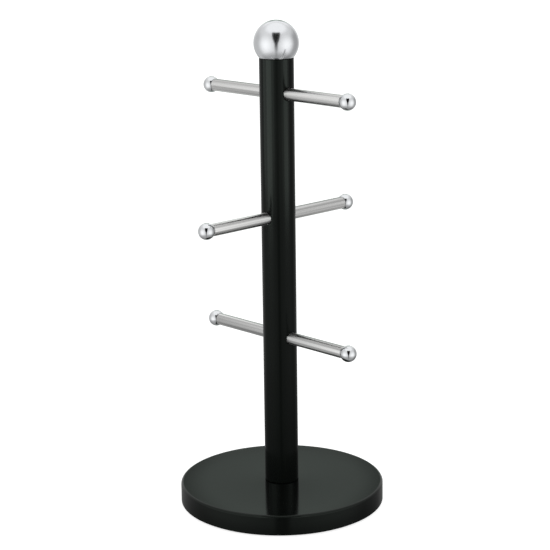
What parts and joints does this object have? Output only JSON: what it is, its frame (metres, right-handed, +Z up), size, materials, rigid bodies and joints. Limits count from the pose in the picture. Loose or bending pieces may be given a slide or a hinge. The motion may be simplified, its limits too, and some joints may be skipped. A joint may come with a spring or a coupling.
{
  "type": "mug tree",
  "caption": "Free-standing rack with a round weighted base, an upright tubular post, pairs of level arms with end balls that cups hang on by their handles, and a ball on top.",
  "frame": {"origin": "centre of the underside of the base, on the surface that the mug tree stands on", "axes": "+Z up along the post; +X along the top and bottom pairs of arms; +Y along the middle pair; -Y is the front"},
  "size_m": [0.152, 0.152, 0.36],
  "materials": {
    "gloss_black_enamel": "smooth gloss black enamel",
    "satin_black_enamel": "satin black powder coat",
    "brushed_stainless": "brushed along the length",
    "polished_chrome": "mirror polished",
    "satin_polished_steel": "soft polished",
    "cast_iron": "rough cast, black primer",
    "black_rubber": "matt fine-grained",
    "zinc_plated_steel": "zinc plated"
  },
  "bodies": {
    "root": {"base_cover": "gloss_black_enamel", "base_weight": "cast_iron", "base_pad": "black_rubber", "base_washer": "zinc_plated_steel", "base_bolt": "zinc_plated_steel", "post_tube": "satin_black_enamel", "post_foot_plug": "zinc_plated_steel", "post_top_plug": "zinc_plated_steel", "arm_block_top": "zinc_plated_steel", "arm_rod_top_right": "brushed_stainless", "arm_ball_top_right": "polished_chrome", "arm_rod_top_left": "brushed_stainless", "arm_ball_top_left": "polished_chrome", "arm_block_middle": "zinc_plated_steel", "arm_rod_middle_front": "brushed_stainless", "arm_ball_middle_front": "polished_chrome", "arm_rod_middle_back": "brushed_stainless", "arm_ball_middle_back": "polished_chrome", "arm_block_bottom": "zinc_plated_steel", "arm_rod_bottom_right": "brushed_stainless", "arm_ball_bottom_right": "polished_chrome", "arm_rod_bottom_left": "brushed_stainless", "arm_ball_bottom_left": "polished_chrome", "finial_ball": "satin_polished_steel", "finial_insert": "zinc_plated_steel", "finial_stud": "zinc_plated_steel"}
  },
  "joints": []
}
